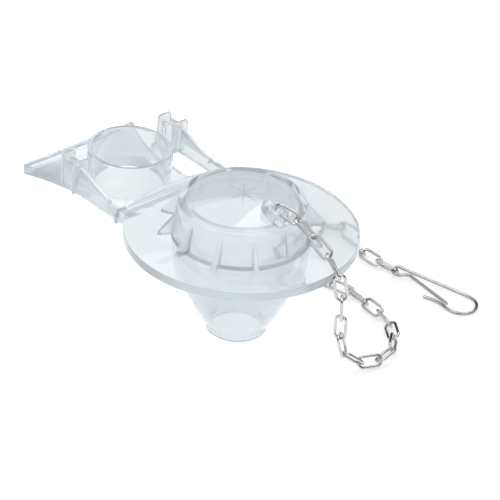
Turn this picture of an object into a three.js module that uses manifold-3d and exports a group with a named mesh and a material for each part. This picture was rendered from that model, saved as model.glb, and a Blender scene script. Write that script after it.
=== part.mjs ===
// Toilet flapper: a clear moulding that pivots on the overflow tube, with its lift chain and spring clip.
// Millimetres, +Z up. The origin is on the axis of the overflow tube's collar, inside the plate's thickness,
// and +X runs from the tube to the middle of the flush valve's seat.
import * as THREE from "three";
import { mergeVertices } from "three/addons/utils/BufferGeometryUtils.js";
import Module from "manifold-3d";

// Collar that slides down the overflow tube
const tubeBore = 14.5;
const collarWall = 1.9;
const collarHeight = 16.3;

// Flat plate behind and around the collar
const plateTop = 3;
const plateThick = 4.2;
const plateRear = 31.1;
const plateRearHalf = 27.7;
const plateCorner = 4.6;
const plateFront = 22;
const plateFrontHalf = 19.5;
const plateWaistX = -12;
const plateWaistPull = 17;

// Ear posts that clip over the tube's side pegs
const postRearX = -8.6;
const postFrontX = 0.9;
const postInner = 20.8;
const postOuter = 27;
const postFrontProud = 1.5;
const postTop = 19;
const postFootInner = 18.4;
const postWall = 1.2;
const postWebDrop = 2.2;
const postFloor = 1.6;
const pegWebInset = 3.4;
const pegSlotWidth = 4.6;
const pegSlotBottom = 7.4;
const pegSlotTop = 15.6;

// Arms from the posts to the disc, their gussets and the web between them
const armOuter = 27.1;
const armThick = 3.3;
const armLow = 5.7;
const armDepth = 4.4;
const armReach = 2.4;
const sink = 0.8;
const gussetThick = 1.4;
const gussetInset = 1.2;
const gussetRearTop = 17;
const gussetFrontX = 20.5;
const hingeThick = 1.5;
const hingeSlotLength = 5;
const hingeSlotWidth = 1.1;

// Sealing disc
const discReach = 66.5;
const discRadius = 45;
const discTop = 13.1;
const discThick = 3.6;
const rimRound = 0.5;
const rampRun = 9.5;
const rampDrop = 3;

// Hollow dome above the disc and open float below it
const wall = 2;
const domeRadius = 26.7;
const shoulderRadius = 24.5;
const shoulderHeight = 12.3;
const shoulderRound = 1.1;
const ledgeWidth = 1.7;
const crownRadius = 20.6;
const crownStep = 1.5;
const crownRise = 2.3;
const floatRadius = 26.5;
const floatBelly = 25;
const floatBellyDepth = 22;
const lipRadius = 11.7;
const lipHeight = 2.3;
const floatDepth = 43.9;

// Star of grooves in the crown
const starRays = 8;
const rayLength = 8.5;
const rayWidth = 1.1;
const rayInner = 1.1;
const rayDepth = 0.8;

// Fins round the dome
const finPitch = 30;
const finReach = 5.8;
const finHeight = 9.6;
const finFoot = 2.6;
const finTop = 1.3;
const finTip = 0.9;

// Hooded eyelet that the chain hangs from
const lugRearX = 13.2;
const lugMouthX = 21.7;
const lugRearHeight = 17.3;
const lugMouthHeight = 15.6;
const lugRearRadius = 3.2;
const lugMouthRadius = 4.1;
const lugBore = 3;
const strapWidth = 1.7;
const windowLength = 3.1;
const windowWidth = 3.8;
const lugRibWidth = 0.8;
const lugRibProud = 0.5;

// Chain of welded links
const linkLength = 11.6;
const linkWidth = 5.4;
const linkWire = 1.2;
const linkGap = 0.45;

// Spring clip at the chain's free end, bent from one wire
const clipWire = 1.3;
const clipLength = 37.4;
const clipMouth = 12.4;
const clipEye = 5;
const clipTail = 9.2;
const clipCrossing = 1.75;

const roundSteps = 52;
const smallSteps = 24;

const wasm = await Module();
wasm.setup();

// Turns a closed three.js geometry into a solid.
function solid(geometry) {
  const bare = geometry.index ? geometry.toNonIndexed() : geometry.clone();
  bare.deleteAttribute("normal");
  bare.deleteAttribute("uv");
  const merged = mergeVertices(bare, 1e-4);
  return new wasm.Manifold(
    new wasm.Mesh({
      numProp: 3,
      vertProperties: new Float32Array(merged.getAttribute("position").array),
      triVerts: new Uint32Array(merged.index.array),
    }),
  );
}

function geometryOf(body) {
  const mesh = body.getMesh();
  const geometry = new THREE.BufferGeometry();
  geometry.setAttribute("position", new THREE.BufferAttribute(mesh.vertProperties, 3));
  geometry.setIndex(new THREE.BufferAttribute(mesh.triVerts, 1));
  const flat = geometry.toNonIndexed();
  flat.computeVertexNormals();
  return flat;
}

function shapeOf(points) {
  return new THREE.Shape(points.map(([x, y]) => new THREE.Vector2(x, y)));
}

// A plan outline raised from one height to another.
function raised(shape, from, to, curveSegments = 8) {
  const geometry = new THREE.ExtrudeGeometry(shape, {
    depth: to - from,
    bevelEnabled: false,
    curveSegments,
  });
  return solid(geometry.translate(0, 0, from));
}

// A side outline in X and Z, given thickness across Y from one side to another.
function across(shape, from, to, curveSegments = 8) {
  const geometry = new THREE.ExtrudeGeometry(shape, {
    depth: to - from,
    bevelEnabled: false,
    curveSegments,
  });
  return solid(geometry.rotateX(Math.PI / 2).translate(0, to, 0));
}

// A profile of radius and height turned about the vertical line at x.
function turned(points, x, steps) {
  const profile = points.map(([r, z]) => new THREE.Vector2(r, z));
  const geometry = new THREE.LatheGeometry(profile, steps);
  return solid(geometry.rotateX(Math.PI / 2).translate(x, 0, 0));
}

function bothSides(body) {
  return body.add(body.mirror([0, 1, 0]));
}

function makePlate() {
  const shape = new THREE.Shape();
  const rear = -plateRear;
  shape.moveTo(plateFront, plateFrontHalf);
  shape.quadraticCurveTo(plateWaistX, plateWaistPull, rear + plateCorner, plateRearHalf);
  shape.quadraticCurveTo(rear, plateRearHalf + plateCorner / 4, rear, plateRearHalf - plateCorner);
  shape.lineTo(rear, plateCorner - plateRearHalf);
  shape.quadraticCurveTo(rear, -plateRearHalf - plateCorner / 4, rear + plateCorner, -plateRearHalf);
  shape.quadraticCurveTo(plateWaistX, -plateWaistPull, plateFront, -plateFrontHalf);
  return raised(shape, plateTop - plateThick, plateTop);
}

function makeCollar() {
  const outer = tubeBore + collarWall;
  const round = collarWall / 5;
  return turned(
    [
      [0, plateTop - plateThick],
      [outer, plateTop - plateThick],
      [outer, collarHeight - round],
      [outer - round, collarHeight],
      [0, collarHeight],
    ],
    0,
    roundSteps,
  );
}

function makeTubeHole() {
  const margin = 1;
  const low = plateTop - plateThick - margin;
  return turned(
    [
      [0, low],
      [tubeBore, low],
      [tubeBore, collarHeight + margin],
      [0, collarHeight + margin],
    ],
    0,
    roundSteps,
  );
}

// One ear post on the +Y side: two walls across the arm, an outer wall and a slotted web for the peg.
function makePost() {
  const floorTop = armLow + postFloor;
  const webTop = postTop - postWebDrop;
  const webY = postOuter - pegWebInset;
  const box = (x0, x1, y0, y1, z0, z1) =>
    raised(shapeOf([[x0, y0], [x1, y0], [x1, y1], [x0, y1]]), z0, z1);
  const frontWall = postFrontX - postWall;
  const rearWall = postRearX + postWall;
  const inset = postWall / 4;
  const near = postRearX + inset;
  const far = postFrontX - inset;
  const walls = box(postRearX, rearWall, postInner, postOuter, armLow, postTop)
    .add(box(frontWall, postFrontX, postInner, postOuter + postFrontProud, armLow, postTop))
    .add(box(near, far, postOuter - postWall, postOuter - inset, floorTop - inset, webTop))
    .add(box(near, far, webY - postWall, webY, floorTop - inset, webTop))
    .add(box(near, far, postInner + inset, postOuter - inset, armLow + inset, floorTop))
    .add(box(near, far, postFootInner, postInner + postWall, plateTop - sink, floorTop));
  const middle = (postRearX + postFrontX) / 2;
  const half = pegSlotWidth / 2;
  const slot = new THREE.Shape();
  slot.moveTo(middle + half, pegSlotBottom);
  slot.lineTo(middle + half, pegSlotTop - half);
  slot.absarc(middle, pegSlotTop - half, half, 0, Math.PI, false);
  slot.lineTo(middle - half, pegSlotBottom);
  return walls.subtract(across(slot, webY - 2 * postWall, webY + postWall, 6));
}

// An arm on the +Y side, from the post to the disc's edge, with the gusset that stands on it.
function makeArm() {
  const rimX = discReach - Math.sqrt(discRadius ** 2 - armOuter ** 2);
  const under = discTop - discThick;
  const top = armLow + armDepth;
  const start = postFrontX - postWall / 2;
  const end = rimX + armReach;
  const bar = shapeOf([
    [start, armLow],
    [rimX - armReach, armLow],
    [end, under - sink],
    [end, under + sink],
    [rimX - armReach, top],
    [start, top],
  ]);
  const gusset = shapeOf([
    [start, top - sink],
    [gussetFrontX, top - sink],
    [gussetFrontX, top],
    [postFrontX, gussetRearTop],
    [start, gussetRearTop],
  ]);
  const face = armOuter - gussetInset;
  return across(bar, armOuter - armThick, armOuter).add(across(gusset, face - gussetThick, face));
}

// The thin web that flexes between the plate and the disc, with a slot near each end.
function makeHinge() {
  const under = discTop - discThick;
  const start = plateFront - hingeThick;
  const rise = discReach - discRadius + 2 * hingeThick;
  const half = armOuter - armThick + sink / 2;
  const profile = shapeOf([
    [start, plateTop - hingeThick],
    [start + hingeThick, plateTop - hingeThick],
    [rise + hingeThick, under - 0.2],
    [rise + hingeThick, under + sink],
    [rise, under + sink],
    [start, plateTop + 0.2],
  ]);
  const slotX = rise - hingeThick / 2;
  const slotY = half - hingeSlotLength;
  const slot = raised(
    shapeOf([
      [slotX - hingeSlotWidth / 2, slotY - hingeSlotLength / 2],
      [slotX + hingeSlotWidth / 2, slotY - hingeSlotLength / 2],
      [slotX + hingeSlotWidth / 2, slotY + hingeSlotLength / 2],
      [slotX - hingeSlotWidth / 2, slotY + hingeSlotLength / 2],
    ]),
    plateTop + hingeThick,
    under,
  );
  return across(profile, -half, half).subtract(bothSides(slot));
}

// Height above the disc of a shallow spherical cap of the given edge radius, edge height and rise.
function capHeight(r, edgeRadius, edgeHeight, rise) {
  const ball = (edgeRadius ** 2 + rise ** 2) / (2 * rise);
  return edgeHeight + rise - ball + Math.sqrt(ball ** 2 - r ** 2);
}

// Disc, dome and float in one turned wall, open at the float's mouth.
function makeFlapper() {
  const under = discTop - discThick;
  const mouth = discTop - floatDepth;
  const lipTop = mouth + lipHeight;
  const crownEdge = shoulderHeight + crownStep;
  const capSteps = 3;
  const outerCap = [];
  const innerCap = [];
  const innerEdge = crownRadius - wall / 2;
  for (let i = 0; i <= capSteps; i += 1) {
    const share = i / capSteps;
    const outer = crownRadius * (1 - share);
    const inner = innerEdge * share;
    outerCap.push([outer, discTop + capHeight(outer, crownRadius, crownEdge, crownRise)]);
    innerCap.push([inner, discTop - wall + capHeight(inner, innerEdge, crownEdge, crownRise)]);
  }
  const bellySteps = 4;
  const belly = (thick) =>
    new THREE.QuadraticBezierCurve(
      new THREE.Vector2(floatRadius - thick, under),
      new THREE.Vector2(floatBelly - thick, discTop - floatBellyDepth),
      new THREE.Vector2(lipRadius - thick, lipTop),
    ).getPoints(bellySteps).map((p) => [p.x, p.y]);
  const shoulder = discTop + shoulderHeight;
  const inside = domeRadius - wall;
  const profile = [
    ...innerCap,
    [shoulderRadius - wall - shoulderRound, shoulder - wall],
    [shoulderRadius - wall, shoulder - wall - 2 * shoulderRound],
    [inside, discTop],
    ...belly(wall),
    [lipRadius - wall, mouth],
    [lipRadius, mouth],
    ...belly(0).reverse(),
    [discRadius - rimRound, under],
    [discRadius, under + rimRound],
    [discRadius, discTop - rimRound],
    [discRadius - rimRound, discTop],
    [domeRadius, discTop],
    [shoulderRadius + shoulderRound / 4, shoulder - shoulderRound],
    [shoulderRadius - shoulderRound / 3, shoulder - shoulderRound / 4],
    [shoulderRadius - shoulderRound, shoulder],
    [shoulderRadius - shoulderRound - ledgeWidth, shoulder],
    ...outerCap,
  ];
  return turned(profile, discReach, roundSteps);
}

// The wedge that lowers the disc's edge where the hinge web meets it.
function makeRamp() {
  const rear = discReach - discRadius;
  const wedge = shapeOf([
    [rear + rampRun, discTop],
    [rear + rampRun, discTop + rampDrop],
    [rear - rampDrop, discTop + rampDrop],
    [rear - rampDrop, discTop - rampDrop * (1 + rampDrop / rampRun)],
  ]);
  return across(wedge, -discRadius, discRadius);
}

// Three-cornered fins that stand on the disc against the dome's wall, each thinner at its top.
function makeFins() {
  const low = discTop - sink;
  const wallAt = domeRadius - ((domeRadius - shoulderRadius) * finHeight) / shoulderHeight;
  const tip = domeRadius + finReach;
  const half = (x, width, z) => [[x, -width / 2, z], [x, width / 2, z]];
  const fin = wasm.Manifold.hull([
    ...half(domeRadius - sink, finFoot, low),
    ...half(tip - finTip, finFoot, low),
    ...half(tip, finFoot / 2, low),
    ...half(tip, finFoot / 2, discTop + finTip / 3),
    ...half(tip - finTip, finFoot, discTop + finTip / 2),
    ...half(wallAt + finTip / 4, finTop, discTop + finHeight),
    ...half(wallAt - sink, finTop, discTop + finHeight),
  ]);
  const fins = [];
  for (let angle = finPitch; angle < 360; angle += finPitch)
    fins.push(fin.rotate([0, 0, angle]).translate([discReach, 0, 0]));
  return fins.reduce((all, next) => all.add(next));
}

// Places a solid made along +Z on the sloping line of the eyelet, at a distance from its rear end.
function onLugLine(geometry, along) {
  const rear = new THREE.Vector3(discReach + lugRearX, 0, discTop + lugRearHeight);
  const mouth = new THREE.Vector3(discReach + lugMouthX, 0, discTop + lugMouthHeight);
  const axis = mouth.clone().sub(rear).normalize();
  const turn = new THREE.Quaternion().setFromUnitVectors(new THREE.Vector3(0, 0, 1), axis);
  const size = new THREE.Vector3(1, 1, 1);
  const place = new THREE.Matrix4().compose(rear.addScaledVector(axis, along), turn, size);
  return solid(geometry.applyMatrix4(place));
}

const lugLength = Math.hypot(lugMouthX - lugRearX, lugMouthHeight - lugRearHeight);

function makeLug() {
  const hood = new THREE.LatheGeometry(
    [
      new THREE.Vector2(0, -lugRearRadius / 3),
      new THREE.Vector2(lugRearRadius * 0.7, -lugRearRadius / 5),
      new THREE.Vector2(lugRearRadius, lugRearRadius / 4),
      new THREE.Vector2(lugMouthRadius, lugLength),
      new THREE.Vector2(0, lugLength),
    ],
    smallSteps,
  ).rotateX(Math.PI / 2);
  const foot = across(
    shapeOf([
      [discReach + lugRearX, discTop + shoulderHeight],
      [discReach + shoulderRadius - shoulderRound / 2, discTop + shoulderHeight - sink],
      [discReach + lugMouthX, discTop + lugMouthHeight],
      [discReach + lugRearX, discTop + lugRearHeight],
    ]),
    -lugRearRadius / 2,
    lugRearRadius / 2,
  );
  const rib = across(
    shapeOf([
      [discReach + shoulderRadius - 1, discTop + shoulderHeight - 1],
      [discReach + domeRadius - 1, discTop + sink],
      [discReach + domeRadius + lugRibProud, discTop + sink],
      [discReach + shoulderRadius + lugRibProud, discTop + shoulderHeight - 1],
    ]),
    -lugRibWidth / 2,
    lugRibWidth / 2,
  );
  return onLugLine(hood, 0).add(foot).add(rib);
}

// The bore behind the eyelet's bridge and the window above it, which leave the bridge at the mouth.
function makeLugHollow() {
  const boreDepth = strapWidth + windowLength;
  const bore = new THREE.CylinderGeometry(lugBore, lugBore, boreDepth + 2, smallSteps)
    .rotateX(Math.PI / 2)
    .translate(0, 0, (boreDepth + 2) / 2);
  const window = new THREE.BoxGeometry(2 * lugMouthRadius, windowWidth, windowLength)
    .translate(-lugMouthRadius, 0, windowLength / 2);
  const start = lugLength - boreDepth;
  return onLugLine(bore, start).add(onLugLine(window, start));
}

// Tapering grooves cut into the crown from its middle.
function makeStar() {
  const top = discTop + shoulderHeight + crownStep + crownRise;
  const ray = shapeOf([
    [rayInner, -rayWidth / 2],
    [rayLength, 0],
    [rayInner, rayWidth / 2],
  ]);
  const groove = raised(ray, top - rayDepth, top + 1);
  const rays = [];
  for (let i = 0; i < starRays; i += 1)
    rays.push(groove.rotate([0, 0, (360 * i) / starRays]).translate([discReach, 0, 0]));
  return rays.reduce((all, next) => all.add(next));
}

function makeBody() {
  const ends = bothSides(makePost().add(makeArm()));
  return makePlate()
    .add(makeCollar())
    .add(ends)
    .add(makeHinge())
    .subtract(makeTubeHole())
    .add(makeFlapper().add(makeFins()).add(makeLug()))
    .subtract(makeRamp())
    .subtract(makeStar())
    .subtract(makeLugHollow());
}

// The chain's way from the eyelet, over the disc's edge, down to the level of the float's mouth and along it.
// Distances are counted in link pitches.
const pitch = linkLength - 2 * linkWire - linkGap;
const edge = discReach + discRadius;
const ground = discTop - floatDepth;
const lying = ground + linkWidth / 2;
const fromEdge = (x, y, z) => [edge + x * pitch, y * pitch, discTop + z * pitch];
const aboveGround = (x, y, z) => [edge + x * pitch, y * pitch, ground + z * pitch];
const onGround = (x, y) => [discReach + x * pitch, y * pitch, lying];
const bridgeX = discReach + lugMouthX - strapWidth;
const bridgeZ = discTop + lugMouthHeight + (lugBore + lugMouthRadius) / 2;
const chainRoute = [
  [bridgeX, 0, bridgeZ],
  fromEdge(-1.86, 0.33, 1.9),
  fromEdge(-1.06, 0.57, 1.3),
  fromEdge(-0.32, 0.8, 0.67),
  fromEdge(0.32, 0.87, -0.1),
  fromEdge(0.53, 0.88, -1.07),
  fromEdge(0.53, 0.9, -2.06),
  fromEdge(0.46, 0.95, -3.02),
  aboveGround(0.52, 1.22, 1.08),
  aboveGround(0.76, 1.86, 0.49),
  onGround(6.1, 2.74),
  onGround(5.98, 3.61),
  onGround(5.42, 4.37),
  onGround(4.7, 4.96),
  onGround(3.81, 5.32),
  onGround(2.83, 5.45),
  onGround(1.81, 5.52),
  onGround(0.8, 5.44),
  onGround(-0.17, 5.14),
  onGround(-1.15, 4.85),
  onGround(-2.16, 4.85),
  onGround(-3.14, 5.19),
  onGround(-3.71, 6.06),
  onGround(-3.71, 7.02),
  onGround(-3.14, 7.87),
  onGround(-2.18, 8.2),
  onGround(-1.2, 8.12),
  onGround(0.06, 8.1),
  onGround(1.6, 8.36),
];

// How far each link is turned about its own length from facing restSide.
const linkTurns = [
  40, -50, 20, -70, 0, -90, 20, -50, -90, 20, -50, 60, -20, 80,
  -10, -90, 20, -50, 60, -30, 60, -70, 10, -90, 20, -90, 0, -90,
];
const restSide = new THREE.Vector3(0.48, -0.44, 0.76).normalize();

// Steps along the route with straight strides of one link's pitch.
function jointsAlong(route, stride) {
  const samples = route.getSpacedPoints(4000);
  const joints = [samples[0]];
  for (const point of samples)
    if (point.distanceTo(joints[joints.length - 1]) >= stride) joints.push(point);
  return joints;
}

// An oval loop of round wire, lying in the XY plane with its length along X.
function makeLink() {
  const bendSteps = 12;
  const wireSides = 8;
  const bend = (linkWidth - linkWire) / 2;
  const loop = new THREE.TorusGeometry(bend, linkWire / 2, wireSides, bendSteps);
  loop.rotateZ(Math.PI / bendSteps);
  const places = loop.getAttribute("position");
  const shift = (linkLength - linkWidth) / 2;
  for (let i = 0; i < places.count; i += 1)
    places.setX(i, places.getX(i) + Math.sign(places.getX(i)) * shift);
  return geometryOf(solid(loop));
}

// The clip's wire, from the end of its latch bar round the eye, the long bar and the big bend to its tail.
// Places are from the joint in the eye; the latch bar's end lies over the tail.
function makeClip() {
  const low = clipWire / 2 - (lying - ground);
  const over = low + clipCrossing;
  const bendX = clipLength - clipMouth / 2;
  const atEye = (x, y, z = 0) => [x * clipEye, y * clipEye, z];
  const atBend = (x, y, z = low) => [bendX + x * clipMouth, y * clipMouth, z];
  const between = (from, to, share) => from.map((value, i) => value + (to[i] - value) * share);
  const latchRoot = atEye(1.1, 0.42, over / 4);
  const latchEnd = atBend(-0.19, 0.04, over);
  const barRoot = atEye(0.02, 0.66, -clipWire / 8);
  const barEnd = atBend(-0.33, 1);
  const route = [
    latchEnd,
    between(latchEnd, latchRoot, 0.08),
    between(latchEnd, latchRoot, 0.92),
    latchRoot,
    atEye(0.8, 0.1),
    atEye(0.58, -0.25),
    atEye(0.16, -0.36),
    atEye(-0.24, -0.14),
    atEye(-0.38, 0.26),
    atEye(-0.28, 0.56),
    barRoot,
    between(barRoot, barEnd, 0.06),
    between(barRoot, barEnd, 0.94),
    barEnd,
    atBend(0.06, 1),
    atBend(0.32, 0.84),
    atBend(0.47, 0.55),
    atBend(0.4, 0.25),
    atBend(0.18, 0.06),
    atBend(-0.12, 0),
    atBend(-0.4, 0.03),
    [bendX - clipTail, 0, low],
    [bendX - clipTail - clipMouth * 0.35, -clipMouth * 0.12, low],
  ].map(([x, y, z]) => new THREE.Vector3(x, y, z));
  const section = new THREE.Shape().absarc(0, 0, clipWire / 2, 0, 2 * Math.PI, false);
  const wire = new THREE.ExtrudeGeometry(section, {
    steps: 70,
    curveSegments: 3,
    extrudePath: new THREE.CatmullRomCurve3(route, false, "centripetal"),
  });
  return geometryOf(solid(wire));
}

const clearPlastic = { color: 0xdde4e8, roughness: 0.12, metalness: 0, transparent: true, opacity: 0.55 };
const steel = { color: 0xb9bcc0, roughness: 0.28, metalness: 1 };

function named(name, geometry, look) {
  const mesh = new THREE.Mesh(geometry, new THREE.MeshStandardMaterial(look));
  mesh.name = name;
  return mesh;
}

const flapper = new THREE.Group();
flapper.add(named("flapper_body", geometryOf(makeBody()), clearPlastic));

const route = new THREE.CatmullRomCurve3(
  chainRoute.map(([x, y, z]) => new THREE.Vector3(x, y, z)),
  false,
  "centripetal",
);
const joints = jointsAlong(route, pitch);
const linkShape = makeLink();
for (let i = 1; i < joints.length; i += 1) {
  const link = named(`chain_link_${String(i).padStart(2, "0")}`, linkShape, steel);
  const along = joints[i].clone().sub(joints[i - 1]).normalize();
  const facing = restSide.clone().addScaledVector(along, -restSide.dot(along)).normalize();
  facing.applyAxisAngle(along, THREE.MathUtils.degToRad(linkTurns[i - 1]));
  const side = new THREE.Vector3().crossVectors(facing, along);
  link.setRotationFromMatrix(new THREE.Matrix4().makeBasis(along, side, facing));
  link.position.copy(joints[i]).add(joints[i - 1]).multiplyScalar(0.5);
  flapper.add(link);
}

const clip = named("spring_clip", makeClip(), steel);
clip.position.copy(joints[joints.length - 1]);
flapper.add(clip);

export default flapper;
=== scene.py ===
import math

import bmesh
import bpy
import numpy as np
from mathutils import Matrix, Vector


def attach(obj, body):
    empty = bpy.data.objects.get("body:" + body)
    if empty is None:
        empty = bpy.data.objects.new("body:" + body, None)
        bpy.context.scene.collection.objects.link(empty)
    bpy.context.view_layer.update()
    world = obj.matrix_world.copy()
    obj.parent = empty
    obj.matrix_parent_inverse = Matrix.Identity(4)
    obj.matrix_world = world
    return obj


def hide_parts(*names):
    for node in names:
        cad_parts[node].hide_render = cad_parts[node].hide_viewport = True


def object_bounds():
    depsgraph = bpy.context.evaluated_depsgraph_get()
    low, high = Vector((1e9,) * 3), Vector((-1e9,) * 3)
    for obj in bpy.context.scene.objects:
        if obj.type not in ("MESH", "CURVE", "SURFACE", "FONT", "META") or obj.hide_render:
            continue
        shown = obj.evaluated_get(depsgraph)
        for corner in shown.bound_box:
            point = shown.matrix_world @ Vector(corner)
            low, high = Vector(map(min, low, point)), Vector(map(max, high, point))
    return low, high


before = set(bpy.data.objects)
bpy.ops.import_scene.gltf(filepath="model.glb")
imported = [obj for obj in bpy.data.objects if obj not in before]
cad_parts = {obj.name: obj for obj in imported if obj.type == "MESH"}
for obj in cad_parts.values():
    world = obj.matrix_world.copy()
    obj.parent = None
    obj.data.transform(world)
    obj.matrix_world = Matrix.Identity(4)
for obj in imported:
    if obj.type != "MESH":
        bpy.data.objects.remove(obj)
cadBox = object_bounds()
mm = 0.001
print("frame loaded")

# The photo looks down at the disc from the chain's side, through a long lens.
camera = {
    "target": (66.5, 0, 13.1),  # middle of the disc's top
    "distance": 2069.1,
    "azimuth": -42.3,
    "elevation": 32.45,
    "roll": 3.21,
    "right": 3.215,
    "up": -8.09,
    "lens": 394.06,
    "sensor": 36,
    "near": 50,
    "far": 40000,
}


def placeCamera():
    around, above, roll = (math.radians(camera[k]) for k in ("azimuth", "elevation", "roll"))
    flat = Vector((math.cos(around), math.sin(around), 0))
    back = math.cos(above) * flat + math.sin(above) * Vector((0, 0, 1))
    level = Vector((-math.sin(around), math.cos(around), 0))
    lift = back.cross(level)
    right = math.cos(roll) * level + math.sin(roll) * lift
    up = math.cos(roll) * lift - math.sin(roll) * level
    eye = Vector(camera["target"]) + camera["distance"] * back
    eye = eye + camera["right"] * right + camera["up"] * up
    data = bpy.data.cameras.new("photoCamera")
    data.lens = camera["lens"]
    data.sensor_width = camera["sensor"]
    data.clip_start = camera["near"] * mm
    data.clip_end = camera["far"] * mm
    made = bpy.data.objects.new("photoCamera", data)
    bpy.context.scene.collection.objects.link(made)
    made.matrix_world = Matrix.Translation(eye * mm) @ Matrix((right, up, back)).transposed().to_4x4()
    bpy.context.scene.camera = made


placeCamera()


# Mesh helpers. Every size is in millimetres until a piece is finished.
def newObject(name, mesh):
    made = bpy.data.objects.new(name, mesh)
    bpy.context.scene.collection.objects.link(made)
    return made


def solidFrom(name, work):
    bmesh.ops.recalc_face_normals(work, faces=work.faces)
    mesh = bpy.data.meshes.new(name)
    work.to_mesh(mesh)
    work.free()
    return newObject(name, mesh)


def plainMesh(source):
    bpy.context.view_layer.update()
    graph = bpy.context.evaluated_depsgraph_get()
    return bpy.data.meshes.new_from_object(source.evaluated_get(graph), depsgraph=graph)


def discard(things):
    for thing in things:
        mesh = thing.data
        bpy.data.objects.remove(thing)
        bpy.data.meshes.remove(mesh)


def combine(base, tools, operation):
    for tool in tools:
        step = base.modifiers.new("combine", "BOOLEAN")
        step.object = tool
        step.operation = operation
        step.solver = "MANIFOLD"
    mesh = plainMesh(base)
    base.modifiers.clear()
    base.data = mesh
    discard(tools)
    return base


mostOfSide = 0.48  # a rounded corner takes no more than this share of a side next to it


def roundedLine(points, closed=True, steps=5):
    # points are (x, y) or (x, y, radius of the corner)
    made = []
    count = len(points)
    for i, point in enumerate(points):
        here = Vector(point[:2])
        radius = point[2] if len(point) > 2 else 0
        if not radius or (not closed and i in (0, count - 1)):
            made.append(tuple(here))
            continue
        before = Vector(points[i - 1][:2]) - here
        after = Vector(points[(i + 1) % count][:2]) - here
        reach = radius / math.tan(before.angle(after) / 2)
        reach = min(reach, before.length * mostOfSide, after.length * mostOfSide)
        start = here + before.normalized() * reach
        end = here + after.normalized() * reach
        for k in range(steps + 1):
            t = k / steps
            made.append(tuple((1 - t) ** 2 * start + 2 * t * (1 - t) * here + t * t * end))
    return made


def curvedSide(start, pull, end, steps=16):
    a, b, c = Vector(start), Vector(pull), Vector(end)
    shares = [k / steps for k in range(steps + 1)]
    return [tuple((1 - t) ** 2 * a + 2 * t * (1 - t) * b + t * t * c) for t in shares]


def softenEdges(work, width, sharpest=35):
    least = math.radians(sharpest)
    sharp = [e for e in work.edges if len(e.link_faces) == 2 and e.calc_face_angle(0) > least]
    if width and sharp:
        bmesh.ops.bevel(
            work, geom=sharp, offset=width, segments=2, profile=0.5, affect="EDGES", clamp_overlap=True
        )


def raised(outline, low, high, edge=0.2):
    # a plan outline, given height
    work = bmesh.new()
    face = work.faces.new([work.verts.new((x, y, low)) for x, y in outline])
    up = bmesh.ops.extrude_face_region(work, geom=[face])
    bmesh.ops.translate(
        work, vec=(0, 0, high - low), verts=[v for v in up["geom"] if isinstance(v, bmesh.types.BMVert)]
    )
    bmesh.ops.recalc_face_normals(work, faces=work.faces)
    softenEdges(work, edge)
    return solidFrom("raised", work)


def across(outline, near, far, edge=0.2):
    # a side outline in X and Z, given thickness along Y
    made = raised(outline, -far, -near, edge)
    made.data.transform(Matrix.Rotation(math.pi / 2, 4, "X"))
    return made


def turned(profile, steps):
    # a line of (radius, height) from axis to axis, turned about Z
    work = bmesh.new()
    rings = []
    for radius, height in profile:
        if radius < 1e-6:
            rings.append([work.verts.new((0, 0, height))])
            continue
        angles = [2 * math.pi * k / steps for k in range(steps)]
        circle = [(radius * math.cos(a), radius * math.sin(a), height) for a in angles]
        rings.append([work.verts.new(p) for p in circle])
    for low, high in zip(rings, rings[1:]):
        for k in range(steps):
            after = (k + 1) % steps
            corners = [low[k % len(low)], low[after % len(low)]]
            corners += [high[after % len(high)], high[k % len(high)]]
            kept = [v for i, v in enumerate(corners) if v not in corners[:i]]
            if len(kept) > 2:
                work.faces.new(kept)
    return solidFrom("turned", work)


def moved(thing, x=0, y=0, z=0):
    thing.data.transform(Matrix.Translation((x, y, z)))
    return thing


def mirrored(things):
    made = []
    for thing in things:
        twin = newObject("twin", thing.data.copy())
        twin.data.transform(Matrix.Scale(-1, 4, (0, 1, 0)))
        twin.data.flip_normals()
        made.append(twin)
    return things + made


def box(x0, x1, y0, y1, z0, z1, edge=0.15):
    return raised([(x0, y0), (x1, y0), (x1, y1), (x0, y1)], z0, z1, edge)


# Geometry Nodes helpers
def newTree(name, inputs):
    tree = bpy.data.node_groups.new(name, "GeometryNodeTree")
    tree.interface.new_socket("Geometry", in_out="INPUT", socket_type="NodeSocketGeometry")
    for label, kind in inputs:
        tree.interface.new_socket(label, in_out="INPUT", socket_type="NodeSocket" + kind)
    tree.interface.new_socket("Geometry", in_out="OUTPUT", socket_type="NodeSocketGeometry")
    return tree


def node(tree, kind, settings=None, **values):
    made = tree.nodes.new(kind)
    for name, value in (settings or {}).items():
        setattr(made, name, value)
    for name, value in values.items():
        wanted = made.inputs[int(name[1:])] if name[1:].isdigit() else made.inputs[name.replace("_", " ")]
        if isinstance(value, bpy.types.NodeSocket):
            tree.links.new(value, wanted)
        else:
            wanted.default_value = value
    return made


def grownMesh(source, tree, values):
    # runs the tree on the source with these named inputs and keeps the plain mesh
    step = source.modifiers.new("grow", "NODES")
    step.node_group = tree
    for item in tree.interface.items_tree:
        if item.item_type == "SOCKET" and item.in_out == "INPUT" and item.name in values:
            step[item.identifier] = values[item.name]
    mesh = plainMesh(source)
    source.modifiers.clear()
    return mesh


# Materials
def newGroup(name, inputs, outputs):
    tree = bpy.data.node_groups.new(name, "ShaderNodeTree")
    for label, value in inputs:
        socket = tree.interface.new_socket(label, in_out="INPUT", socket_type="NodeSocketFloat")
        socket.default_value = value
    for label, kind in outputs:
        tree.interface.new_socket(label, in_out="OUTPUT", socket_type="NodeSocket" + kind)
    return tree


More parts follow.
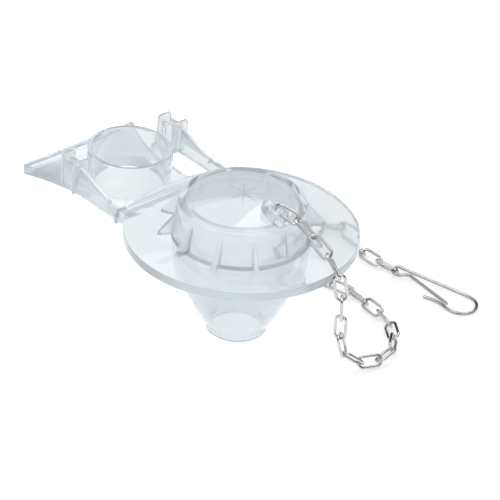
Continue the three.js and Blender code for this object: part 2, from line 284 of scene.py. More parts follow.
def flowMarks():
    # faint waves that the melt leaves in a moulding, and fine haze
    tree = newGroup(
        "flowMarks",
        [("Wave Size", 60), ("Haze Size", 45)],
        [("Height", "Float"), ("Haze", "Float")],
    )
    start = tree.nodes.new("NodeGroupInput")
    end = tree.nodes.new("NodeGroupOutput")
    place = tree.nodes.new("ShaderNodeTexCoord").outputs["Object"]
    sizes = start.outputs
    wave = node(tree, "ShaderNodeTexNoise", Vector=place, Scale=sizes["Wave Size"], Detail=2.0)
    haze = node(tree, "ShaderNodeTexNoise", Vector=place, Scale=sizes["Haze Size"], Detail=3.0)
    tree.links.new(wave.outputs["Fac"], end.inputs["Height"])
    tree.links.new(haze.outputs["Fac"], end.inputs["Haze"])
    return tree


def drawnWire():
    # the fine scratches and dull spots of drawn, tumbled wire
    tree = newGroup(
        "drawnWire",
        [("Scratch Size", 2600), ("Patch Size", 420)],
        [("Height", "Float"), ("Dull", "Float")],
    )
    start = tree.nodes.new("NodeGroupInput")
    end = tree.nodes.new("NodeGroupOutput")
    place = tree.nodes.new("ShaderNodeTexCoord").outputs["Object"]
    sizes = start.outputs
    scratch = node(tree, "ShaderNodeTexNoise", Vector=place, Scale=sizes["Scratch Size"], Detail=4.0)
    patch = node(tree, "ShaderNodeTexNoise", Vector=place, Scale=sizes["Patch Size"], Detail=2.0)
    tree.links.new(scratch.outputs["Fac"], end.inputs["Height"])
    tree.links.new(patch.outputs["Fac"], end.inputs["Dull"])
    return tree


def newMaterial(name):
    made = bpy.data.materials.new(name)
    made.use_nodes = True
    return made, made.node_tree, made.node_tree.nodes["Principled BSDF"]


def blendBetween(tree, share, low, high):
    # noise keeps near its middle, so that stretch is drawn out over the whole blend
    made = node(tree, "ShaderNodeMapRange", Value=share)
    made.inputs["From Min"].default_value = 0.35
    made.inputs["From Max"].default_value = 0.65
    made.inputs["To Min"].default_value = low
    made.inputs["To Max"].default_value = high
    return made.outputs["Result"]


def tintBetween(tree, share, low, high):
    made = node(tree, "ShaderNodeMix", {"data_type": "RGBA"})
    tree.links.new(share, made.inputs[0])
    made.inputs[6].default_value = (*low, 1)
    made.inputs[7].default_value = (*high, 1)
    return made.outputs[2]


clearVinyl = {
    "tintLow": (0.878, 0.904, 0.922),
    "tintHigh": (0.898, 0.919, 0.934),
    "through": 0.75,
    "bend": 1.33,
    "roughLow": 0.04,
    "roughHigh": 0.065,
    "gloss": 0.6,
    "glossRough": 0.03,
    "wave": 0.1,
    "waveDepth": 0.0004,
    "depthTint": (0.46, 0.64, 0.72),
    "depth": 20.0,
    "shade": (0.95, 0.96, 0.965),  # the light that gets past one face into the shadow
}


def makeClearVinyl(marks):
    made, tree, shader = newMaterial("clearVinyl")
    look = node(tree, "ShaderNodeGroup", {"node_tree": marks})
    tint = tintBetween(tree, look.outputs["Haze"], clearVinyl["tintLow"], clearVinyl["tintHigh"])
    rough = blendBetween(tree, look.outputs["Haze"], clearVinyl["roughLow"], clearVinyl["roughHigh"])
    bump = node(
        tree, "ShaderNodeBump",
        Height=look.outputs["Height"], Strength=clearVinyl["wave"], Distance=clearVinyl["waveDepth"],
    )
    tree.links.new(tint, shader.inputs["Base Color"])
    tree.links.new(rough, shader.inputs["Roughness"])
    tree.links.new(bump.outputs["Normal"], shader.inputs["Normal"])
    shader.inputs["IOR"].default_value = clearVinyl["bend"]
    shader.inputs["Transmission Weight"].default_value = clearVinyl["through"]
    shader.inputs["Coat Weight"].default_value = clearVinyl["gloss"]
    shader.inputs["Coat Roughness"].default_value = clearVinyl["glossRough"]
    depth = node(tree, "ShaderNodeVolumeAbsorption", Density=clearVinyl["depth"])
    depth.inputs["Color"].default_value = (*clearVinyl["depthTint"], 1)
    output = tree.nodes["Material Output"]
    tree.links.new(depth.outputs["Volume"], output.inputs["Volume"])
    clear = tree.nodes.new("ShaderNodeBsdfTransparent")
    clear.inputs["Color"].default_value = (*clearVinyl["shade"], 1)
    lampRay = tree.nodes.new("ShaderNodeLightPath").outputs["Is Shadow Ray"]
    mix = node(
        tree, "ShaderNodeMixShader", Fac=lampRay, _1=shader.outputs["BSDF"], _2=clear.outputs["BSDF"]
    )
    tree.links.new(mix.outputs["Shader"], output.inputs["Surface"])
    return made


chainSteel = {
    "dark": (0.5, 0.5, 0.49), "pale": (0.74, 0.74, 0.73), "roughLow": 0.06, "roughHigh": 0.16,
    "grain": 0.2, "grainDepth": 0.00002,
}
clipSteel = {
    "dark": (0.38, 0.38, 0.37), "pale": (0.5, 0.5, 0.49), "roughLow": 0.16, "roughHigh": 0.26,
    "grain": 0.2, "grainDepth": 0.00002,
}


def makeSteel(name, finish, marks):
    made, tree, shader = newMaterial(name)
    look = node(tree, "ShaderNodeGroup", {"node_tree": marks})
    tint = tintBetween(tree, look.outputs["Dull"], finish["pale"], finish["dark"])
    rough = blendBetween(tree, look.outputs["Dull"], finish["roughLow"], finish["roughHigh"])
    bump = node(
        tree, "ShaderNodeBump",
        Height=look.outputs["Height"], Strength=finish["grain"], Distance=finish["grainDepth"],
    )
    tree.links.new(tint, shader.inputs["Base Color"])
    tree.links.new(rough, shader.inputs["Roughness"])
    tree.links.new(bump.outputs["Normal"], shader.inputs["Normal"])
    shader.inputs["Metallic"].default_value = 1
    return made


vinylLook = makeClearVinyl(flowMarks())
wireMarks = drawnWire()
chainLook = makeSteel("chainSteel", chainSteel, wireMarks)
clipLook = makeSteel("clipSteel", clipSteel, wireMarks)
print("materials made")


# Geometry Nodes: copies of a piece set round an axis
def copiesRound():
    tree = newTree(
        "copiesRound",
        [("Count", "Int"), ("First Turn", "Float"), ("Turn", "Float"), ("Material", "Material")],
    )
    start = tree.nodes.new("NodeGroupInput")
    line = node(tree, "GeometryNodeMeshLine", Count=start.outputs["Count"], Offset=(0, 0, 0))
    index = tree.nodes.new("GeometryNodeInputIndex").outputs["Index"]
    turn = node(
        tree, "ShaderNodeMath", {"operation": "MULTIPLY_ADD"},
        _0=index, _1=start.outputs["Turn"], _2=start.outputs["First Turn"],
    )
    spin = node(tree, "ShaderNodeCombineXYZ", Z=turn.outputs[0])
    copies = node(
        tree, "GeometryNodeInstanceOnPoints",
        Points=line.outputs["Mesh"], Instance=start.outputs["Geometry"], Rotation=spin.outputs["Vector"],
    )
    real = node(tree, "GeometryNodeRealizeInstances", Geometry=copies.outputs["Instances"])
    painted = node(
        tree, "GeometryNodeSetMaterial",
        Geometry=real.outputs["Geometry"], Material=start.outputs["Material"],
    )
    end = tree.nodes.new("NodeGroupOutput")
    tree.links.new(painted.outputs["Geometry"], end.inputs["Geometry"])
    return tree


roundTree = copiesRound()


def ringOf(thing, count, first, turn):
    values = {"Count": count, "First Turn": first, "Turn": turn, "Material": vinylLook}
    thing.data = grownMesh(thing, roundTree, values)
    return thing


# The moulding: plate and collar
plate = {
    "top": 3, "thick": 4.2, "rear": 31.1, "rearHalf": 27.7, "corner": 5.2, "front": 22, "frontHalf": 19.5,
    "waistX": -12, "waistPull": 17, "edge": 0.35, "cornerSteps": 6,
}
collar = {"bore": 14.5, "wall": 1.9, "height": 16.3, "round": 0.5, "through": 1, "steps": 176}


def makePlate():
    rear, half, corner = -plate["rear"], plate["rearHalf"], plate["corner"]
    waist = (plate["waistX"], plate["waistPull"])
    side = curvedSide((plate["front"], plate["frontHalf"]), waist, (rear, half))[:-1]
    outline = [*side, (rear, half, corner), (rear, -half, corner)]
    outline += [(x, -y) for x, y in reversed(side)]
    line = roundedLine(outline, steps=plate["cornerSteps"])
    return raised(line, plate["top"] - plate["thick"], plate["top"], plate["edge"])


def makeCollar():
    outer = collar["bore"] + collar["wall"]
    low = plate["top"] - plate["thick"] + plate["edge"]
    line = [(0, low), (outer, low), (outer, collar["height"], collar["round"]), (0, collar["height"])]
    return turned(roundedLine(line, closed=False), collar["steps"])


def makeTubeHole():
    # the hole widens at its upper mouth and goes on past both ends of the collar
    bore, top, lead, through = (collar[k] for k in ("bore", "height", "round", "through"))
    low, high = plate["top"] - plate["thick"] - through, top + through
    mouth = [(bore, top - lead), (bore + lead * 0.7, top + lead / 10), (bore + lead, high)]
    return turned([(0, low), (bore, low), *mouth, (0, high)], collar["steps"])


# The moulding: ear posts, arms and hinge web
post = {
    "rearX": -8.6, "frontX": 0.9, "inner": 20.8, "outer": 27, "frontProud": 1.5, "top": 19,
    "footInner": 18.4, "wall": 1.2, "webDrop": 2.2, "floor": 1.6, "webInset": 3.4, "corner": 1.2,
    "edge": 0.18, "slotWidth": 4.6, "slotBottom": 7.4, "slotTop": 15.6, "slotSteps": 12,
}
arm = {
    "outer": 27.1, "thick": 3.3, "low": 5.7, "depth": 4.4, "reach": 2.4, "bend": 2, "sink": 0.8,
    "gusset": 1.4, "gussetInset": 1.2, "gussetTop": 17, "gussetX": 20.5, "gussetRound": 0.6, "edge": 0.3,
}
hinge = {
    "thick": 1.5, "bend": 1, "proud": 0.2, "edge": 0.15, "slotLength": 5, "slotWidth": 1.1,
    "slotCorner": 0.4,
}
disc = {
    "x": 66.5, "radius": 45, "top": 13.1, "thick": 3.6, "round": 0.5, "rampRun": 9.5, "rampDrop": 3,
    "steps": 256,
}


def makeEar(near, far):
    # a wall across the arm, its top corners rounded
    low, top, corner = arm["low"], post["top"], post["corner"]
    outline = [(-far, low), (-near, low), (-near, top, corner), (-far, top, corner)]
    wall = across(roundedLine(outline), 0, post["wall"], post["edge"])
    wall.data.transform(Matrix.Rotation(-math.pi / 2, 4, "Z"))
    return wall


def makePost():
    wall, inset, edge = post["wall"], post["wall"] / 4, post["edge"]
    low = arm["low"]
    floorTop = low + post["floor"]
    webTop = post["top"] - post["webDrop"]
    webY = post["outer"] - post["webInset"]
    rear, front, inner, outer = post["rearX"], post["frontX"], post["inner"], post["outer"]
    near, far = rear + inset, front - inset
    walls = [
        moved(makeEar(inner, outer), rear),
        moved(makeEar(inner, outer + post["frontProud"]), front - wall),
        box(near, far, outer - wall, outer - inset, floorTop - inset, webTop, edge),
        box(near, far, webY - wall, webY, floorTop - inset, webTop, edge),
        box(near, far, inner + inset, outer - inset, low + inset, floorTop, edge),
        box(near, far, post["footInner"], inner + wall, plate["top"] - arm["sink"], floorTop, edge),
    ]
    middle, half, steps = (rear + front) / 2, post["slotWidth"] / 2, post["slotSteps"]
    arch = post["slotTop"] - half
    turns = [math.pi * k / steps for k in range(steps + 1)]
    outline = [(middle - half, post["slotBottom"]), (middle + half, post["slotBottom"])]
    outline += [(middle + half * math.cos(a), arch + half * math.sin(a)) for a in turns]
    slot = across(outline, webY - 2 * wall, webY + wall, 0)
    return combine(combine(walls[0], walls[1:], "UNION"), [slot], "DIFFERENCE")


def makeArm():
    rim = disc["x"] - math.sqrt(disc["radius"] ** 2 - arm["outer"] ** 2)
    under = disc["top"] - disc["thick"]
    low, top, sink, reach = arm["low"], arm["low"] + arm["depth"], arm["sink"], arm["reach"]
    start, end = post["frontX"] - post["wall"] / 2, rim + reach
    bar = [
        (start, low), (rim - reach, low, arm["bend"]), (end, under - sink),
        (end, under + sink), (rim - reach, top), (start, top),
    ]
    fin = [
        (start, top - sink), (arm["gussetX"], top - sink), (arm["gussetX"], top),
        (post["frontX"], arm["gussetTop"], arm["gussetRound"]), (start, arm["gussetTop"]),
    ]
    face = arm["outer"] - arm["gussetInset"]
    return [
        across(roundedLine(bar), arm["outer"] - arm["thick"], arm["outer"], arm["edge"]),
        across(roundedLine(fin), face - arm["gusset"], face, arm["edge"]),
    ]


def makeHinge():
    under, thick, bend, proud = disc["top"] - disc["thick"], hinge["thick"], hinge["bend"], hinge["proud"]
    start, top = plate["front"] - thick, plate["top"]
    rise = disc["x"] - disc["radius"] + 2 * thick
    half = arm["outer"] - arm["thick"] + arm["sink"] / 2
    outline = [
        (start, top - thick), (start + thick, top - thick, bend), (rise + thick, under - proud, bend),
        (rise + thick, under + arm["sink"]), (rise, under + arm["sink"]), (start, top + proud, bend),
    ]
    web = across(roundedLine(outline), -half, half, hinge["edge"])
    x, y = rise - thick / 2, half - hinge["slotLength"]
    wide, long = hinge["slotWidth"] / 2, hinge["slotLength"] / 2
    signs = ((-1, -1), (1, -1), (1, 1), (-1, 1))
    corners = [(x + i * wide, y + j * long, hinge["slotCorner"]) for i, j in signs]
    slot = raised(roundedLine(corners), top + thick, under, 0)
    return combine(web, mirrored([slot]), "DIFFERENCE")


# The moulding: disc, dome and float in one turned wall
dome = {
    "wall": 2, "radius": 26.7, "shoulder": 24.5, "height": 12.3, "round": 1.1, "crown": 20.6, "step": 1.5,
    "rise": 2.3, "footRound": 0.2, "ledgeGap": 0.9, "ledgeRound": 0.25, "stepLean": 0.2, "stepDrop": 0.1,
    "stepRound": 0.35, "insideRounds": (0.6, 0.8, 1),
}
bowl = {
    "radius": 26.5, "neckRound": 0.6, "belly": 25, "bellyDepth": 22, "bellySteps": 22, "lip": 11.7,
    "lipHeight": 2.3, "lipRound": 0.7, "depth": 43.9,
}


def capLine(edge, height, rise, steps=14):
    ball = (edge**2 + rise**2) / (2 * rise)
    radii = [edge * k / steps for k in range(steps + 1)]
    return [(r, height + rise - ball + math.sqrt(ball**2 - r**2)) for r in radii]


def bellyLine(thick):
    start = (bowl["radius"] - thick, -disc["thick"])
    pull = (bowl["belly"] - thick, -bowl["bellyDepth"])
    end = (bowl["lip"] - thick, bowl["lipHeight"] - bowl["depth"])
    return curvedSide(start, pull, end, bowl["bellySteps"])


def makeTurnedWall():
    # from the axis down the inside to the float's mouth, and up the outside to the axis again
    wall, edge, high = dome["wall"], dome["round"], dome["height"]
    crownEdge = high + dome["step"]
    under, mouth = -disc["thick"], -bowl["depth"]
    underLedge, underShoulder, underFoot = dome["insideRounds"]
    line = capLine(dome["crown"] - wall / 2, crownEdge - wall, dome["rise"])
    line += [
        (dome["shoulder"] - wall - edge, high - wall, underLedge),
        (dome["shoulder"] - wall, high - wall - 2 * edge, underShoulder),
        (dome["radius"] - wall, 0, underFoot),
    ]
    line += bellyLine(wall)
    line += [
        (bowl["lip"] - wall, mouth, bowl["lipRound"]),
        (bowl["lip"], mouth, bowl["lipRound"]),
        (bowl["lip"], mouth + bowl["lipHeight"]),
    ]
    line += reversed(bellyLine(0)[1:-1])
    line += [
        (bowl["radius"], under, bowl["neckRound"]),
        (disc["radius"], under, disc["round"]),
        (disc["radius"], 0, disc["round"]),
        (dome["radius"], 0, dome["footRound"]),
        (dome["shoulder"], high, edge * 0.6),
        (dome["crown"] + dome["ledgeGap"], high, dome["ledgeRound"]),
        (dome["crown"] + dome["stepLean"], crownEdge - dome["stepDrop"], dome["stepRound"]),
    ]
    line += reversed(capLine(dome["crown"], crownEdge, dome["rise"])[:-1])
    made = turned(roundedLine(line, closed=False), disc["steps"])
    return moved(made, disc["x"], 0, disc["top"])


def makeRamp():
    rear = disc["x"] - disc["radius"]
    run, drop = disc["rampRun"], disc["rampDrop"]
    outline = [
        (rear + run, disc["top"]), (rear + run, disc["top"] + drop), (rear - drop, disc["top"] + drop),
        (rear - drop, disc["top"] - drop * (1 + drop / run)),
    ]
    return across(outline, -disc["radius"], disc["radius"], 0)


fins = {
    "count": 11, "turn": 30, "reach": 5.8, "height": 9.6, "foot": 2.6, "top": 1.3, "tip": 0.9,
    "edge": 0.3,
}
star = {"rays": 8, "inner": 0.6, "length": 8.5, "width": 1.2, "depth": 0.5}


def makeFins():
    sink, high, tip = arm["sink"], fins["height"], dome["radius"] + fins["reach"]
    wallAt = dome["radius"] - (dome["radius"] - dome["shoulder"]) * high / dome["height"]
    foot, top, small = fins["foot"] / 2, fins["top"] / 2, fins["tip"]
    places = [
        (dome["radius"] - sink, foot, -sink), (tip - small, foot, -sink), (tip, foot / 2, -sink),
        (tip, foot / 2, small / 3), (tip - small, foot, small / 2),
        (wallAt + small / 4, top, high), (wallAt - sink, top, high),
    ]
    work = bmesh.new()
    for x, y, z in places:
        work.verts.new((x, y, z))
        work.verts.new((x, -y, z))
    bmesh.ops.convex_hull(work, input=work.verts)
    bmesh.ops.recalc_face_normals(work, faces=work.faces)
    softenEdges(work, fins["edge"])
    fin = solidFrom("fin", work)
    turn = math.radians(fins["turn"])
    return moved(ringOf(fin, fins["count"], turn, turn), disc["x"], 0, disc["top"])


def makeStar():
    # rays with a V across them, deepest near the middle and run out at their tips
    top = dome["height"] + dome["step"] + dome["rise"]
    ball = (dome["crown"] ** 2 + dome["rise"] ** 2) / (2 * dome["rise"])
    fall = ball - math.sqrt(ball**2 - star["length"] ** 2)
    work = bmesh.new()
    wide, over = star["width"] / 2, top + star["depth"]
    inner, outer = star["inner"], star["length"]
    places = [
        (inner, -wide, over), (inner, wide, over), (inner, 0, top - star["depth"]),
        (outer, 0, over), (outer, 0, top - fall),
    ]
    a, b, c, d, e = (work.verts.new(p) for p in places)
    for corners in ((a, b, c), (a, d, b), (a, c, e), (a, e, d), (b, e, c), (b, d, e)):
        work.faces.new(corners)
    ray = solidFrom("ray", work)
    turn = 2 * math.pi / star["rays"]
    return moved(ringOf(ray, star["rays"], 0, turn), disc["x"], 0, disc["top"])


# The moulding: the hooded eyelet on the crown
lug = {
    "rearX": 13.2, "mouthX": 21.7, "rearZ": 17.3, "mouthZ": 15.6, "rearRadius": 3.2, "mouthRadius": 4.1,
    "rearRound": 1, "mouthRound": 0.3, "bore": 3, "boreOver": 2, "bridge": 1.7, "window": 3.1,
    "windowWidth": 3.8, "windowEdge": 0.2, "rib": 0.8, "ribProud": 0.5, "ribSink": 1, "steps": 64,
}


def onLugLine(thing, along):
    rear = Vector((disc["x"] + lug["rearX"], 0, disc["top"] + lug["rearZ"]))
    mouth = Vector((disc["x"] + lug["mouthX"], 0, disc["top"] + lug["mouthZ"]))
    axis = (mouth - rear).normalized()
    turn = Vector((0, 0, 1)).rotation_difference(axis).to_matrix().to_4x4()
    thing.data.transform(Matrix.Translation(rear + axis * along) @ turn)
    return thing


lugLength = math.hypot(lug["mouthX"] - lug["rearX"], lug["mouthZ"] - lug["rearZ"])


def makeLug():
    small, large, soft = lug["rearRadius"], lug["mouthRadius"], lug["rearRound"]
    line = [
        (0, -small / 3), (small * 0.7, -small / 5, soft), (small, small / 4, soft),
        (large, lugLength, lug["mouthRound"]), (0, lugLength),
    ]
    hood = onLugLine(turned(roundedLine(line, closed=False), lug["steps"]), 0)
    high, x, top = dome["height"], disc["x"], disc["top"]
    foot = [
        (x + lug["rearX"], top + high),
        (x + dome["shoulder"] - dome["round"] / 2, top + high - arm["sink"]),
        (x + lug["mouthX"], top + lug["mouthZ"]),
        (x + lug["rearX"], top + lug["rearZ"]),
    ]
    sink, proud = lug["ribSink"], lug["ribProud"]
    ribLow, ribHigh = top + arm["sink"], top + high - sink
    rib = [
        (x + dome["shoulder"] - sink, ribHigh), (x + dome["radius"] - sink, ribLow),
        (x + dome["radius"] + proud, ribLow), (x + dome["shoulder"] + proud, ribHigh),
    ]
    return [hood, across(foot, -small / 2, small / 2), across(rib, -lug["rib"] / 2, lug["rib"] / 2)]


def makeLugHollow():
    deep = lug["bridge"] + lug["window"]
    start, end = lugLength - deep, deep + lug["boreOver"]
    bore = turned([(0, 0), (lug["bore"], 0), (lug["bore"], end), (0, end)], lug["steps"])
    wide = lug["windowWidth"] / 2
    window = box(-2 * lug["mouthRadius"], 0, -wide, wide, 0, lug["window"], lug["windowEdge"])
    return [onLugLine(bore, start), onLugLine(window, start)]


def makeMoulding():
    ends = mirrored([makePost(), *makeArm()])
    body = combine(makePlate(), [makeCollar(), *ends, makeHinge()], "UNION")
    combine(body, [makeTubeHole()], "DIFFERENCE")
    combine(body, [makeTurnedWall(), makeFins(), *makeLug()], "UNION")
    combine(body, [makeRamp(), makeStar(), *makeLugHollow()], "DIFFERENCE")
    return body


def finishPiece(thing, name, look, nodes, sharpest=32):
    thing.name = name
    mesh = thing.data
    mesh.transform(Matrix.Scale(mm, 4))
    mesh.materials.clear()
    mesh.materials.append(look)
    mesh.polygons.foreach_set("material_index", [0] * len(mesh.polygons))
    mesh.polygons.foreach_set("use_smooth", [True] * len(mesh.polygons))
    mesh.set_sharp_from_angle(angle=math.radians(sharpest))
    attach(thing, "root")
    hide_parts(*nodes)
    print(name, "made with", sum(len(p.vertices) - 2 for p in mesh.polygons), "triangles")


flapper = makeMoulding()
finishPiece(flapper, "flapper", vinylLook, ["flapper_body"])


# The chain: one oval link, set wherever the frame has one
link = {"length": 11.6, "width": 5.4, "wire": 1.2, "bendPoints": 12, "wirePoints": 16, "sharpest": 60}


def linksOnPoints():
    tree = newTree("linksOnPoints", [
        ("Length", "Float"), ("Width", "Float"), ("Wire", "Float"),
        ("Bend Points", "Int"), ("Wire Points", "Int"), ("Material", "Material"),
    ])
    start = tree.nodes.new("NodeGroupInput")
    got = start.outputs
    inLength = node(tree, "ShaderNodeMath", {"operation": "SUBTRACT"}, _0=got["Length"], _1=got["Wire"])
    inWidth = node(tree, "ShaderNodeMath", {"operation": "SUBTRACT"}, _0=got["Width"], _1=got["Wire"])
    # a hair under half the width, so that the two bends of an end don't meet
    bend = node(tree, "ShaderNodeMath", {"operation": "MULTIPLY"}, _0=inWidth.outputs[0], _1=0.4999)
    frameLine = node(
        tree, "GeometryNodeCurvePrimitiveQuadrilateral",
        Width=inLength.outputs[0], Height=inWidth.outputs[0],
    )
    oval = node(
        tree, "GeometryNodeFilletCurve", {"mode": "POLY"},
        Curve=frameLine.outputs["Curve"], Count=got["Bend Points"], Radius=bend.outputs[0],
    )
    half = node(tree, "ShaderNodeMath", {"operation": "MULTIPLY"}, _0=got["Wire"], _1=0.5)
    ring = node(
        tree, "GeometryNodeCurvePrimitiveCircle", Resolution=got["Wire Points"], Radius=half.outputs[0]
    )
    shape = node(
        tree, "GeometryNodeCurveToMesh", Curve=oval.outputs["Curve"], Profile_Curve=ring.outputs["Curve"]
    )
    vector = {"data_type": "FLOAT_VECTOR"}
    alongAt = node(tree, "GeometryNodeInputNamedAttribute", vector, Name="along")
    facingAt = node(tree, "GeometryNodeInputNamedAttribute", vector, Name="facing")
    turn = node(
        tree, "FunctionNodeAxesToRotation", {"primary_axis": "X", "secondary_axis": "Z"},
        Primary_Axis=alongAt.outputs["Attribute"], Secondary_Axis=facingAt.outputs["Attribute"],
    )
    copies = node(
        tree, "GeometryNodeInstanceOnPoints",
        Points=got["Geometry"], Instance=shape.outputs["Mesh"], Rotation=turn.outputs["Rotation"],
    )
    real = node(tree, "GeometryNodeRealizeInstances", Geometry=copies.outputs["Instances"])
    painted = node(
        tree, "GeometryNodeSetMaterial", Geometry=real.outputs["Geometry"], Material=got["Material"]
    )
    end = tree.nodes.new("NodeGroupOutput")
    tree.links.new(painted.outputs["Geometry"], end.inputs["Geometry"])
    return tree


def makeChain():
    names = sorted(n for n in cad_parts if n.startswith("chain_link_"))
    middles, along, facing = [], [], []
    # a link's middle gives its place, and its long and short directions give its turn
    for name in names:
        points = np.array([v.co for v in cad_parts[name].data.vertices])
        points = np.unique(points.round(7), axis=0) / mm
        middle = points.mean(axis=0)
        _, directions = np.linalg.eigh(np.cov((points - middle).T))
        middles.append(middle)
        along.append(directions[:, 2])
        facing.append(directions[:, 0])
    mesh = bpy.data.meshes.new("linkPlaces")
    mesh.from_pydata([tuple(m) for m in middles], [], [])
    for label, vectors in (("along", along), ("facing", facing)):
        kept = mesh.attributes.new(label, "FLOAT_VECTOR", "POINT")
        kept.data.foreach_set("vector", np.array(vectors, np.float32).ravel())
    places = newObject("linkPlaces", mesh)
    values = {
        "Length": link["length"], "Width": link["width"], "Wire": link["wire"],
        "Bend Points": link["bendPoints"], "Wire Points": link["wirePoints"], "Material": chainLook,
    }
    made = newObject("chain", grownMesh(places, linksOnPoints(), values))
    discard([places])
    finishPiece(made, "chain", chainLook, names, link["sharpest"])


makeChain()


# The spring clip: one wire along its bent path
clip = {
    "joint": (77.11, 72.52, -28.1), "wire": 1.3, "length": 37.4, "mouth": 12.4, "eye": 5, "tail": 9.2,
    "crossing": 1.75, "lying": 2.7, "wirePoints": 16, "steps": 10, "sharpest": 60,
}


def clipPath():
    # places from the joint in the eye, the latch bar's end over the tail
    wire, mouth = clip["wire"], clip["mouth"]
    low = wire / 2 - clip["lying"]
    over = low + clip["crossing"]
    bendX = clip["length"] - mouth / 2

    def atEye(x, y, z=0):
        return Vector((x * clip["eye"], y * clip["eye"], z))

    def atBend(x, y, z=low):
        return Vector((bendX + x * mouth, y * mouth, z))

    latchRoot, latchEnd = atEye(1.1, 0.42, over / 4), atBend(-0.19, 0.04, over)
    barRoot, barEnd = atEye(0.02, 0.66, -wire / 8), atBend(-0.33, 1)
    points = [
        latchEnd, latchEnd.lerp(latchRoot, 0.08), latchEnd.lerp(latchRoot, 0.92), latchRoot,
        atEye(0.8, 0.1), atEye(0.58, -0.25), atEye(0.16, -0.36), atEye(-0.24, -0.14), atEye(-0.38, 0.26),
        atEye(-0.28, 0.56), barRoot, barRoot.lerp(barEnd, 0.06), barRoot.lerp(barEnd, 0.94), barEnd,
        atBend(0.06, 1), atBend(0.32, 0.84), atBend(0.47, 0.55), atBend(0.4, 0.25), atBend(0.18, 0.06),
        atBend(-0.12, 0), atBend(-0.4, 0.03), Vector((bendX - clip["tail"], 0, low)),
        Vector((bendX - clip["tail"] - mouth * 0.35, -mouth * 0.12, low)),
    ]
    joint = Vector(clip["joint"])
    return [joint + p for p in points]


def smoothThrough(points, steps):
    # passes through every point, with knots spaced by the root of the stride
    ends = [2 * points[0] - points[1], *points, 2 * points[-1] - points[-2]]
    made = []
    for a, b, c, d in zip(ends, ends[1:], ends[2:], ends[3:]):
        t0, t1 = 0.0, (b - a).length ** 0.5
        t2 = t1 + (c - b).length ** 0.5
        t3 = t2 + (d - c).length ** 0.5
        for k in range(steps):
            t = t1 + (t2 - t1) * k / steps
            ab = a.lerp(b, (t - t0) / (t1 - t0))
            bc = b.lerp(c, (t - t1) / (t2 - t1))
            cd = c.lerp(d, (t - t2) / (t3 - t2))
            first = ab.lerp(bc, (t - t0) / (t2 - t0))
            second = bc.lerp(cd, (t - t1) / (t3 - t1))
            made.append(first.lerp(second, (t - t1) / (t2 - t1)))
    return [*made, points[-1]]


def wireOnLine():
    tree = newTree("wireOnLine", [("Wire", "Float"), ("Wire Points", "Int"), ("Material", "Material")])
    start = tree.nodes.new("NodeGroupInput")
    got = start.outputs
    line = node(tree, "GeometryNodeMeshToCurve", Mesh=got["Geometry"])
    half = node(tree, "ShaderNodeMath", {"operation": "MULTIPLY"}, _0=got["Wire"], _1=0.5)
    ring = node(
        tree, "GeometryNodeCurvePrimitiveCircle", Resolution=got["Wire Points"], Radius=half.outputs[0]
    )
    wire = node(
        tree, "GeometryNodeCurveToMesh",
        Curve=line.outputs["Curve"], Profile_Curve=ring.outputs["Curve"], Fill_Caps=True,
    )
    real = node(tree, "GeometryNodeRealizeInstances", Geometry=wire.outputs["Mesh"])
    painted = node(
        tree, "GeometryNodeSetMaterial", Geometry=real.outputs["Geometry"], Material=got["Material"]
    )
    end = tree.nodes.new("NodeGroupOutput")
    tree.links.new(painted.outputs["Geometry"], end.inputs["Geometry"])
    return tree


def makeClip():
    points = smoothThrough(clipPath(), clip["steps"])
    mesh = bpy.data.meshes.new("clipLine")
    mesh.from_pydata([tuple(p) for p in points], [(i, i + 1) for i in range(len(points) - 1)], [])
    line = newObject("clipLine", mesh)
    values = {"Wire": clip["wire"], "Wire Points": clip["wirePoints"], "Material": clipLook}
    made = newObject("clip", grownMesh(line, wireOnLine(), values))
    discard([line])
    finishPiece(made, "clip", clipLook, ["spring_clip"], clip["sharpest"])


makeClip()
print("pieces made")


# Floor, light and surroundings
stage = {"size": 6000, "gap": 0.1, "paper": 0.64, "lift": 0.46, "lampsAim": (55, 10, 0)}
cards = {"radius": 2300, "low": 60, "high": 1700, "grey": 0.03, "sides": 24}
lamps = {
    # name: (place, size, power, colour)
    "keyBox": ((-300, -900, 1300), 900, 7.4, (1, 1, 1)),
    "fillBox": ((1200, -300, 700), 800, 3.2, (0.96, 0.98, 1)),
    "backBox": ((-300, 900, 1400), 900, 4.2, (1, 1, 1)),
}
sky = {"light": 0.64}


def seenStraight(tree, strength):
    # lifts what the camera sees to white, also in a mirror finish and through the clear plastic
    path = tree.nodes.new("ShaderNodeLightPath").outputs
    either = {"operation": "MAXIMUM"}
    glossy, clear, straight = (path[f"Is {k} Ray"] for k in ("Glossy", "Transmission", "Camera"))
    bounced = node(tree, "ShaderNodeMath", either, _0=glossy, _1=clear)
    seen = node(tree, "ShaderNodeMath", either, _0=straight, _1=bounced.outputs[0])
    scaled = node(tree, "ShaderNodeMath", {"operation": "MULTIPLY"}, _0=seen.outputs[0], _1=strength)
    return scaled.outputs[0]


def makeFloor():
    half = stage["size"] / 2
    mesh = bpy.data.meshes.new("floor")
    low = cadBox[0].z / mm - stage["gap"]
    corners = [(-half, -half, low), (half, -half, low), (half, half, low), (-half, half, low)]
    mesh.from_pydata([tuple(c * mm for c in p) for p in corners], [], [(0, 1, 2, 3)])
    floor = newObject("floor", mesh)
    made, tree, shader = newMaterial("floorPaper")
    shader.inputs["Base Color"].default_value = (stage["paper"],) * 3 + (1,)
    shader.inputs["Roughness"].default_value = 0.9
    shader.inputs["Specular IOR Level"].default_value = 0
    shader.inputs["Emission Color"].default_value = (1, 1, 1, 1)
    tree.links.new(seenStraight(tree, stage["lift"]), shader.inputs["Emission Strength"])
    mesh.materials.append(made)


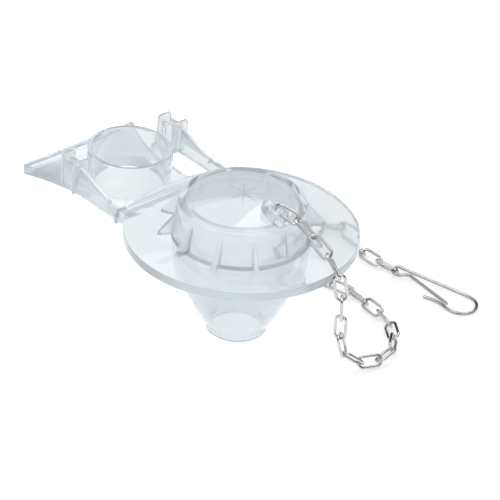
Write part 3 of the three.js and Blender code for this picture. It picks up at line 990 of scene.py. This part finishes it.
def makeCards():
    # dark cards round the set, out of the picture, that draw dark edges in the wire
    work = bmesh.new()
    radius, count = cards["radius"], cards["sides"]
    turns = [2 * math.pi * k / count for k in range(count)]
    line = [(radius * math.cos(a) * mm, radius * math.sin(a) * mm) for a in turns]
    low, high = ([work.verts.new((x, y, cards[end] * mm)) for x, y in line] for end in ("low", "high"))
    for k in range(count):
        after = (k + 1) % count
        work.faces.new((low[k], low[after], high[after], high[k]))
    made, _, shader = newMaterial("darkCard")
    shader.inputs["Base Color"].default_value = (cards["grey"],) * 3 + (1,)
    shader.inputs["Roughness"].default_value = 0.9
    shader.inputs["Specular IOR Level"].default_value = 0
    ring = solidFrom("darkCards", work)
    ring.data.materials.append(made)
    ring.visible_camera = False
    ring.visible_diffuse = False
    ring.visible_transmission = False
    ring.visible_shadow = False


def makeSky():
    world = bpy.data.worlds.new("studio")
    bpy.context.scene.world = world
    world.use_nodes = True
    tree = world.node_tree
    tree.nodes.clear()
    studio = node(tree, "ShaderNodeBackground", Strength=sky["light"])
    white = node(tree, "ShaderNodeBackground", Strength=1.0)
    for each in (studio, white):
        each.inputs["Color"].default_value = (1, 1, 1, 1)
    mix = node(tree, "ShaderNodeMixShader", Fac=seenStraight(tree, 1.0))
    tree.links.new(studio.outputs[0], mix.inputs[1])
    tree.links.new(white.outputs[0], mix.inputs[2])
    out = tree.nodes.new("ShaderNodeOutputWorld")
    tree.links.new(mix.outputs[0], out.inputs["Surface"])


def makeLamps():
    middle = Vector(stage["lampsAim"])
    for name, (place, size, power, colour) in lamps.items():
        data = bpy.data.lights.new(name, "AREA")
        data.shape = "SQUARE"
        data.size = size * mm
        data.energy = power
        data.color = colour
        made = bpy.data.objects.new(name, data)
        bpy.context.scene.collection.objects.link(made)
        made.location = Vector(place) * mm
        made.rotation_euler = (middle - Vector(place)).to_track_quat("-Z", "Y").to_euler()


makeFloor()
makeCards()
makeSky()
makeLamps()
bpy.context.scene.view_settings.view_transform = "Standard"
print("stage made")
